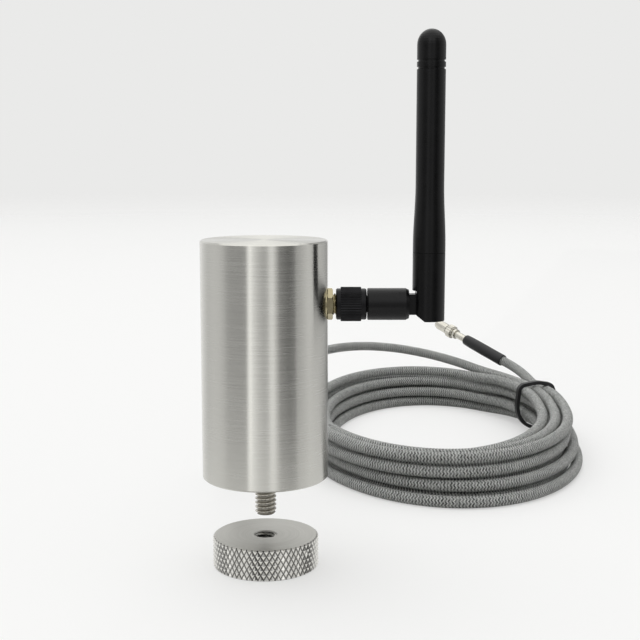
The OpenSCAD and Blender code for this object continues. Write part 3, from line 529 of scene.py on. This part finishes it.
def lathe_lined(name, shades, rough, stretch, painted_groove_shade=None, face=None):
    """Steel with fine lines round the Z axis: two shades, two roughnesses, and how far a highlight stretches.
    A painted_groove_shade is the bottom and top radius of a cut, and the colour of the painted shade at its
    bottom.
    A face is the flat top's colour, a painted shade darker than the rest, and how many times as rough it is."""
    material, tree, shader = start_material(name, {"Metallic": 1.0, "Anisotropic": stretch,
                                                   "Anisotropic Rotation": 0.25})
    place = add(tree, "TexCoord").outputs["Object"]
    flat = add(tree, "VectorMath", {0: place, 1: (1.0, 1.0, 0.0)}, operation="MULTIPLY").outputs[0]
    radius = add(tree, "VectorMath", {0: flat}, operation="LENGTH").outputs["Value"]
    ringed = add(tree, "Math", {0: radius, 1: 1 / (LINE_FINE * MM)}, operation="MULTIPLY").outputs[0]
    drawn = add(tree, "Mapping", {"Vector": place, "Scale": (1 / (LINE_LONG * MM), 1 / (LINE_LONG * MM),
                                                             1 / (LINE_FINE * MM))}).outputs[0]
    lines = add(tree, "TexNoise", {"Vector": drawn, "W": ringed, "Scale": 1.0, "Detail": 2.0},
                noise_dimensions="4D").outputs["Fac"]
    share = add(tree, "MapRange", {"Value": lines, "From Min": 0.3, "From Max": 0.7}).outputs[0]
    gloss = add(tree, "MapRange", {"Value": share, "To Min": rough[0], "To Max": rough[1]}).outputs[0]
    tint = add(tree, "MixRGB", {"Fac": share, "Color1": linear(shades[0]), "Color2": linear(shades[1])}).outputs[0]
    # Painted shade in a cut: the colour darkens towards its bottom radius
    if painted_groove_shade:
        out = add(tree, "MapRange", {"Value": radius, "From Min": painted_groove_shade[0] * MM, "From Max": painted_groove_shade[1] * MM}).outputs[0]
        tint = add(tree, "MixRGB", {"Fac": out, "Color1": linear(painted_groove_shade[2]), "Color2": tint}).outputs[0]
    if face:
        # The flat top is painted darker as shade, and is made rougher
        upright = add(tree, "SeparateXYZ", {0: add(tree, "NewGeometry").outputs["True Normal"]}).outputs["Z"]
        on_top = add(tree, "MapRange", {"Value": upright, "From Min": TOP_FROM, "From Max": TOP_FULL}).outputs[0]
        times = add(tree, "MapRange", {"Value": on_top, "To Min": 1.0, "To Max": face[1]}).outputs[0]
        gloss = add(tree, "Math", {0: gloss, 1: times}, operation="MULTIPLY").outputs[0]
        tint = add(tree, "MixRGB", {"Fac": on_top, "Color1": tint, "Color2": linear(face[0])}).outputs[0]
    lift = add(tree, "Bump", {"Height": lines, "Distance": LINE_DEEP * MM})
    around = add(tree, "Tangent", direction_type="RADIAL", axis="Z")
    connect(tree, shader, {"Base Color": tint, "Roughness": gloss, "Normal": lift.outputs[0],
                           "Tangent": around.outputs[0]})
    return material


# Brushing leaves a silky grey with upright bands of light and dark
brushed = lathe_lined("brushed_stainless_steel", ("#CAC9C3", "#D0CFC9"), (0.22, 0.28), 1.0)
dress(brushed, "housing_shell", "base_plate")

# %% [markdown]
# ## The stud's thread
# The stud is cut from stainless bar, with a key socket in its lower end. A thread could be a texture, but its
# edge shows against the pale table, so it is real: the radius of each ring's point follows a 60 degree profile
# that climbs one pitch in a turn, and a chamfer takes off both ends.

# %% Threaded stud
# Shares of half a pitch
CREST_SHARE, FLANK_SHARE = 0.13, 0.6
RING_POINTS = 48


def thread(crest, depth, pitch, z, angle):
    """Radius of a right-handed thread: flat crests, straight flanks and flat roots."""
    turn = (z / pitch - angle / (2 * math.pi)) % 1.0
    return crest - depth * min(max((2 * abs(turn - 0.5) - CREST_SHARE) / FLANK_SHARE, 0.0), 1.0)


def ring(radius_at, z, place=Matrix()):
    """One ring of points: radius_at gives the radius at each angle."""
    turns = [2 * math.pi * i / RING_POINTS for i in range(RING_POINTS)]
    return [place @ Vector((radius_at(a) * math.cos(a), radius_at(a) * math.sin(a), z)) for a in turns]


def thread_rings(crest, depth, pitch, low, high, spacing, limit, place=Matrix()):
    """Rings of a thread from one height to another, no wider than the limit at each height."""
    steps = int((high - low) / spacing)
    heights = [low + (high - low) * i / steps for i in range(steps + 1)]
    return [ring(lambda a: min(thread(crest, depth, pitch, z, a), limit(z)), z, place) for z in heights]


def key_socket(a):
    """Radius of the hexagonal key socket."""
    return KEY_FLAT / 2 / math.cos((a + math.pi / 6) % (math.pi / 3) - math.pi / 6)


STUD_R, STUD_DEPTH, STUD_PITCH, STUD_CHAMFER = 3.175, 0.72, 1.27, 0.6
STUD_STEP, ROOT_SHADE_STOP = 0.09, 0.1
KEY_FLAT, KEY_DEEP = 3.2, 3.5
stud_low, stud_high = (corner.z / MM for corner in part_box("mounting_stud"))
stud_rings = [ring(key_socket, stud_low + KEY_DEEP), ring(key_socket, stud_low)]
stud_rings += thread_rings(STUD_R, STUD_DEPTH, STUD_PITCH, stud_low, stud_high, STUD_STEP,
                           lambda z: STUD_R - STUD_CHAMFER + min(z - stud_low, stud_high - z))
# The thread's roots are painted with shade, darker towards their bottom, and the crests keep the steel's colour
turned = lathe_lined("turned_stainless_steel", ("#CBC8C1", "#D3D0C9"), (0.1, 0.17), 0.1,
                     painted_groove_shade=(STUD_R - STUD_DEPTH, STUD_R - ROOT_SHADE_STOP, "#85827A"))
fit(skin("threaded_stud", stud_rings, turned), "stud", "stud_steel", "mounting_stud")
dress(turned, "hinge_pin")

# %% [markdown]
# ## The magnet base
# The base is a steel disc with a flat turned face and a diamond knurl pressed round its rim. In the solid, each
# cell of the knurl is creased from peak to peak, which leaves crossed ridges with pits. A pressed knurl has
# crossed grooves, and its diamonds stand up. It could be modelled anew, but the points are in place already, so
# in a copy each of those creases is turned to run from hollow to hollow. The grooves get painted shade, so the
# colour darkens with the radius towards their bottom; the face is rougher, and painted a darker grey as shade.

# %% Magnet base
# Radii: a point beyond the first is a peak, and a groove's painted shade runs from the second to the third
KNURL_TOP, GROOVE_LOW, GROOVE_HIGH = 15.7, 15.23, 15.46
# Points closer than this are one
WELD = 0.001
# Pressed diamonds are burnished and glint; the turned face is rougher, and its darker grey is painted shade
knurled = lathe_lined("turned_and_knurled_steel", ("#E9E8E3", "#EFEEE9"), (0.1, 0.16), 0.1,
                      painted_groove_shade=(GROOVE_LOW, GROOVE_HIGH, "#232220"), face=("#B2B1AC", 3.0))
disc = copied("knurled_base", "magnet_base", knurled)
shape = bmesh.new()
shape.from_mesh(disc.data)
bmesh.ops.remove_doubles(shape, verts=shape.verts, dist=WELD * MM)
ridges = [edge for edge in shape.edges if all(end.co.xy.length > KNURL_TOP * MM for end in edge.verts)]
bmesh.ops.rotate_edges(shape, edges=ridges)
shape.to_mesh(disc.data)
shape.free()
fit(disc, "base", "base_steel", "magnet_base")
print("knurl:", len(ridges), "creases turned into grooves")

# %% [markdown]
# ## The base's thread and magnet
# The base's hole is tapped to take the stud. It could be left plain, since little of it shows, but two turns
# catch the light at its mouth. So it gets a thin threaded lining, whose turns fit the stud's when the base is
# screwed home. Underneath, a plated ring magnet is let in; that solid only needs its finish.

# %% The base's thread and magnet
BORE_R, BORE_DEPTH, LINING_R = 3.25, 0.5, 3.36
BORE_LOW, BORE_HIGH = 5.3, 8.8
lining = [ring(lambda a: LINING_R, BORE_LOW), ring(lambda a: LINING_R, BORE_HIGH)]
lining += thread_rings(BORE_R, BORE_DEPTH, STUD_PITCH, BORE_LOW, BORE_HIGH, STUD_STEP, lambda z: BORE_R)[::-1]
# The lining lies inside the knurl's groove radius, so all of it takes that painted groove shade
fit(skin("bore_thread", lining, knurled, loop=True), "base", "base_steel")
# Nickel on a sintered magnet is a little warm and not quite mirror bright
plated = grained("nickel_plated_magnet", ("#B4B1A8", "#CAC7BE"), (0.22, 0.34), 0.3, 0.004, {"Metallic": 1.0})
dress(plated, "base_magnet")

# %% [markdown]
# ## The connector
# The coaxial connector is turned brass with a thin gold flash. Its nut and washer are solids already. The
# jack gets a real fine thread, since two turns show between the hex nut and the antenna's nut: a ring at each
# step of its outside, and then back through its bore.

# %% Gold-flashed brass
# A gold flash is a pale yellow mirror, which mostly shows the black nut and the grey can beside it
gold = grained("gold_flashed_brass", ("#988E6F", "#ACA386"), (0.07, 0.13), 0.25, 0.003, {"Metallic": 1.0})
dress(gold, "jack_contact", "jack_washer", "jack_nut", "antenna_pin", "radiator", "antenna_socket", "plug_pin")
JACK_Z, JACK_R, JACK_PITCH, JACK_DEPTH, JACK_CHAMFER = 78.5, 3.175, 0.706, 0.4, 0.4
FLANGE_X0, FLANGE_X1, FLANGE_R, REAR_R = 14.0, 15.8, 4.2, 2.2
SOCKET_R, CORE_R, SOCKET_FLOOR = 2.1, 0.95, FLANGE_X1 - 1.0
JACK_STEP = 0.07
jack_low, jack_high = (corner.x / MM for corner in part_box("antenna_jack"))
across = Matrix.Translation((0, 0, JACK_Z)) @ Matrix.Rotation(math.pi / 2, 4, "Y")
outside = ((REAR_R, jack_low), (REAR_R, FLANGE_X0), (FLANGE_R, FLANGE_X0), (FLANGE_R, FLANGE_X1))
bore = ((SOCKET_R, jack_high), (SOCKET_R, SOCKET_FLOOR), (CORE_R, SOCKET_FLOOR), (CORE_R, jack_low))
jack_rings = [ring(lambda a: r, x, across) for r, x in outside]
jack_rings += thread_rings(JACK_R, JACK_DEPTH, JACK_PITCH, FLANGE_X1, jack_high, JACK_STEP,
                           lambda x: JACK_R - JACK_CHAMFER + jack_high - x, across)
jack_rings += [ring(lambda a: r, x, across) for r, x in bore]
fit(skin("threaded_jack", jack_rings, gold, loop=True), "sensor", "brass", "antenna_jack")

# %% [markdown]
# ## The antenna
# The mast is moulded in black ABS with a fine matt texture, and its ribbed nut is black-plated brass. Their
# shapes are solids already. Paint of one black would look like a hole, so each gets the grained recipe.

# %% Moulded black
# Black ABS isn't pure black: its fine texture spreads a grey sheen along the round of the mast
moulded = grained("moulded_black_abs", ("#070708", "#0D0D0E"), (0.26, 0.34), 0.22, 0.005,
                  {"Specular IOR Level": 0.22})
dress(moulded, "antenna_collar", "mast_knuckle", "mast_sleeve", "mast_tip", "board_cradle", "antenna_coax")
# Black plating is a dark metal, so each rib catches a thin grey line
blackened = grained("black_plated_brass", ("#202021", "#29292A"), (0.32, 0.44), 0.2, 0.006, {"Metallic": 1.0})
# The ferrule shows only in the narrow gap between the nut and the collar, and its black there is painted shade
dress(blackened, "coupling_nut", "antenna_ferrule")

# %% [markdown]
# ## The cable's ends
# At the body the cable passes a plated gland and a rubber sleeve. At its far end come the plug's slim sleeve,
# its nut and its nose. These are solids, and only need what each is made of.

# %% Plated brass and rubber
# Nickel plating is a warm bright metal, with a little haze from handling
nickel = grained("nickel_plated_brass", ("#C3C0B6", "#DAD7CD"), (0.18, 0.3), 0.25, 0.004, {"Metallic": 1.0})
dress(nickel, "gland_body", "gland_nut", "plug_body", "plug_nut", "accelerometer_capsule", "radio_module",
      "battery_contacts")
# Rubber drinks light: dark grey, with no clear highlight
rubber = grained("moulded_rubber", ("#1B1B1B", "#262626"), (0.55, 0.7), 0.3, 0.02, {"Specular IOR Level": 0.3})
dress(rubber, "base_seal", "gland_seal", "strain_relief")

# %% [markdown]
# ## Heat-shrink and tie
# A black tube is shrunk on over the cable and the plug's sleeve, so it has rounded lips and follows what is
# under it: a skin over rings of slightly different radius. The tie is a round black band, and its solid is flat
# and thin. A new band could be swept round the coil, but a copy of the solid is already in place, so it is
# welded into one skin and swelled by a quarter of a millimetre all round.

# %% Heat-shrink and tie
# Polyolefin is a soft black, a little greyer where the heat has pulled it smooth
shrunk = grained("shrunk_polyolefin", ("#19191A", "#242425"), (0.35, 0.5), 0.5, 0.02, {"Specular IOR Level": 0.4})
side = PLUG_WAY.cross(Vector((0, 0, 1))).normalized()
down_plug = Matrix((side.cross(PLUG_WAY), side, PLUG_WAY)).transposed().to_4x4()
down_plug.translation = PLUG_AT
# Radius, and distance down the plug
SHRINK = ((2.13, 0.0), (2.4, 0.0), (2.58, 0.12), (2.68, 0.4), (2.7, 1.0), (2.66, 6.0), (2.7, 12.0), (2.66, 19.0),
          (2.6, 22.5), (2.5, 24.4), (2.4, 24.85), (2.2, 25.0), (2.13, 25.0))
tube = skin("heat_shrink_tube", [ring(lambda a: r, s, down_plug) for r, s in SHRINK], shrunk, loop=True)
fit(tube, "sensor", "shrink", "heat_shrink")
TIE_SWELL = 0.25
tie = copied("round_tie", "cable_tie", shrunk)
weld = tie.modifiers.new("weld", "WELD")
weld.merge_threshold = WELD * MM
# At its square edges a point moves on the diagonal
swell = tie.modifiers.new("swell", "DISPLACE")
swell.strength = TIE_SWELL * math.sqrt(2) * MM
swell.mid_level = 0.0
fit(tie, "sensor", "shrink", "cable_tie")
print("tie:", len(tie.data.vertices), "points")

# %% [markdown]
# ## A free cord
# The cable isn't fixed to the body beyond its gland. This cell only prints how long and thick it is.

# %% Cord
print("cord:", round(along[-1]), "mm long,", CABLE_D, "mm thick")

# %% [markdown]
# ## Inside
# The inner pieces show when the part is opened: a green board, its cell in a shrink sleeve, and white PTFE
# insulators. They use the same grained recipe, with their own colours.

# %% Inner pieces
# Solder mask is a thin clear green over woven glass, and glossy
mask = grained("solder_mask_on_glass_fibre", ("#1F5B34", "#2C7443"), (0.3, 0.42), 0.4, 0.01,
               {"Specular IOR Level": 0.5})
dress(mask, "circuit_board")
# A PVC sleeve is an even blue with a soft shine
sleeve = grained("shrunk_pvc_sleeve", ("#3A6E9E", "#4B82B4"), (0.3, 0.45), 0.5, 0.01, {"Specular IOR Level": 0.5})
dress(sleeve, "battery_cell")
# Turned PTFE is waxy and white
ptfe = grained("turned_ptfe", ("#E4E2DC", "#F1EFEA"), (0.45, 0.6), 0.3, 0.01, {"Specular IOR Level": 0.3})
dress(ptfe, "jack_insulator", "cable_terminal")
